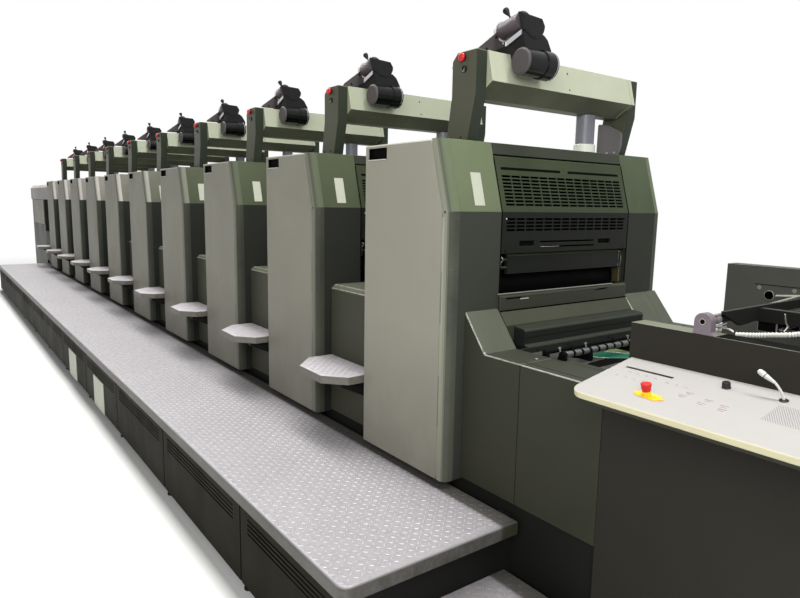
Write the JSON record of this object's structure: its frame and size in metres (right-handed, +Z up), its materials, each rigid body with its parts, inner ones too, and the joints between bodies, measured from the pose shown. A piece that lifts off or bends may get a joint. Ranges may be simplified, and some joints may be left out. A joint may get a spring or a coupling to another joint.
{
  "type": "sheet-fed offset printing press",
  "caption": "Long sheet-fed offset printing press: a row of tall printing units with side doors and ink carriages, a checker-plate gallery, a feeder with a console and a delivery.",
  "frame": {"origin": "centre of the footprint, on the floor", "axes": "+X along the press towards the feeder, +Y across it towards the drive side, +Z up"},
  "size_m": [17.1, 2.378, 2.7561],
  "materials": {
    "side_paint": "satin, scuffed",
    "front_paint": "satin",
    "dark_paint": "satin",
    "black_paint": "matt",
    "beam_paint": "satin",
    "hood_paint": "satin",
    "checker_plate": "raised pattern, worn",
    "step_casting": "cast",
    "table_steel": "worn",
    "roller_black": "satin",
    "carriage_black": "satin",
    "console_cream": "satin",
    "button_red": "gloss",
    "stem_metal": "satin"
  },
  "bodies": {
    "press": {"machine_base": "black_paint", "unit_cores": "black_paint", "operator_housings": "front_paint", "drive_housings": "front_paint", "corner_strips": "side_paint", "unit_top_covers": "front_paint", "unit_guards": "dark_paint", "guard_bars": "dark_paint", "printing_cylinders": "roller_black", "transfer_housings": "dark_paint", "step_plates": "step_casting", "step_brackets": "black_paint", "gantry_posts": "dark_paint", "gantry_beams": "beam_paint", "gantry_cover_plates": "dark_paint", "conduit_posts": "side_paint", "stop_buttons": "button_red", "gallery_deck": "checker_plate", "gallery_frames": "black_paint", "gallery_side_panels": "dark_paint", "gallery_end_panels": "black_paint", "lower_step": "checker_plate", "feed_side_covers": "dark_paint", "feed_table": "table_steel", "feed_slope_guards": "dark_paint", "feed_cover_box": "black_paint", "feed_rollers": "roller_black", "feeder_body": "dark_paint", "feeder_walls": "dark_paint", "suction_head": "black_paint", "console_board": "console_cream", "console_controls": "button_red", "microphone": "stem_metal", "delivery_body": "dark_paint", "delivery_hood": "hood_paint", "delivery_panels": "side_paint", "delivery_conveyor": "black_paint"},
    "guard_01": {"first_unit_guard": "dark_paint", "first_unit_grilles": "dark_paint"},
    "door_01": {"side_door_01": "side_paint"},
    "door_02": {"side_door_02": "side_paint"},
    "door_03": {"side_door_03": "side_paint"},
    "door_04": {"side_door_04": "side_paint"},
    "door_05": {"side_door_05": "side_paint"},
    "door_06": {"side_door_06": "side_paint"},
    "door_07": {"side_door_07": "side_paint"},
    "door_08": {"side_door_08": "side_paint"},
    "door_09": {"side_door_09": "side_paint"},
    "door_10": {"side_door_10": "side_paint"},
    "carriage_01": {"ink_carriage_01": "carriage_black"},
    "carriage_02": {"ink_carriage_02": "carriage_black"},
    "carriage_03": {"ink_carriage_03": "carriage_black"},
    "carriage_04": {"ink_carriage_04": "carriage_black"},
    "carriage_05": {"ink_carriage_05": "carriage_black"},
    "carriage_06": {"ink_carriage_06": "carriage_black"},
    "carriage_07": {"ink_carriage_07": "carriage_black"},
    "carriage_08": {"ink_carriage_08": "carriage_black"},
    "carriage_09": {"ink_carriage_09": "carriage_black"},
    "carriage_10": {"ink_carriage_10": "carriage_black"}
  },
  "joints": [
    {"name": "guard_01_lift", "type": "hinge", "parent": "press", "child": "guard_01", "pos_m": [5.85273, 0.389, 2.03765], "axis": [0, -1, 0], "range_deg": [0, 75]},
    {"name": "door_01_swing", "type": "hinge", "parent": "press", "child": "door_01", "pos_m": [5.874, -0.408, 1.14], "axis": [0, 0, 1], "range_deg": [0, 90]},
    {"name": "door_02_swing", "type": "hinge", "parent": "press", "child": "door_02", "pos_m": [4.674, -0.408, 1.14], "axis": [0, 0, 1], "range_deg": [0, 90]},
    {"name": "door_03_swing", "type": "hinge", "parent": "press", "child": "door_03", "pos_m": [3.474, -0.408, 1.14], "axis": [0, 0, 1], "range_deg": [0, 90]},
    {"name": "door_04_swing", "type": "hinge", "parent": "press", "child": "door_04", "pos_m": [2.274, -0.408, 1.14], "axis": [0, 0, 1], "range_deg": [0, 90]},
    {"name": "door_05_swing", "type": "hinge", "parent": "press", "child": "door_05", "pos_m": [1.074, -0.408, 1.14], "axis": [0, 0, 1], "range_deg": [0, 90]},
    {"name": "door_06_swing", "type": "hinge", "parent": "press", "child": "door_06", "pos_m": [-0.126, -0.408, 1.14], "axis": [0, 0, 1], "range_deg": [0, 90]},
    {"name": "door_07_swing", "type": "hinge", "parent": "press", "child": "door_07", "pos_m": [-1.326, -0.408, 1.14], "axis": [0, 0, 1], "range_deg": [0, 90]},
    {"name": "door_08_swing", "type": "hinge", "parent": "press", "child": "door_08", "pos_m": [-2.526, -0.408, 1.14], "axis": [0, 0, 1], "range_deg": [0, 90]},
    {"name": "door_09_swing", "type": "hinge", "parent": "press", "child": "door_09", "pos_m": [-3.726, -0.408, 1.14], "axis": [0, 0, 1], "range_deg": [0, 90]},
    {"name": "door_10_swing", "type": "hinge", "parent": "press", "child": "door_10", "pos_m": [-4.926, -0.408, 1.14], "axis": [0, 0, 1], "range_deg": [0, 90]},
    {"name": "carriage_01_travel", "type": "slide", "parent": "press", "child": "carriage_01", "axis": [0, 1, 0], "range_m": [0, 0.64]},
    {"name": "carriage_02_travel", "type": "slide", "parent": "press", "child": "carriage_02", "axis": [0, 1, 0], "range_m": [0, 0.64]},
    {"name": "carriage_03_travel", "type": "slide", "parent": "press", "child": "carriage_03", "axis": [0, 1, 0], "range_m": [0, 0.64]},
    {"name": "carriage_04_travel", "type": "slide", "parent": "press", "child": "carriage_04", "axis": [0, 1, 0], "range_m": [0, 0.64]},
    {"name": "carriage_05_travel", "type": "slide", "parent": "press", "child": "carriage_05", "axis": [0, 1, 0], "range_m": [0, 0.64]},
    {"name": "carriage_06_travel", "type": "slide", "parent": "press", "child": "carriage_06", "axis": [0, 1, 0], "range_m": [0, 0.64]},
    {"name": "carriage_07_travel", "type": "slide", "parent": "press", "child": "carriage_07", "axis": [0, 1, 0], "range_m": [0, 0.64]},
    {"name": "carriage_08_travel", "type": "slide", "parent": "press", "child": "carriage_08", "axis": [0, 1, 0], "range_m": [0, 0.64]},
    {"name": "carriage_09_travel", "type": "slide", "parent": "press", "child": "carriage_09", "axis": [0, 1, 0], "range_m": [0, 0.64]},
    {"name": "carriage_10_travel", "type": "slide", "parent": "press", "child": "carriage_10", "axis": [0, 1, 0], "range_m": [0, 0.64]}
  ]
}
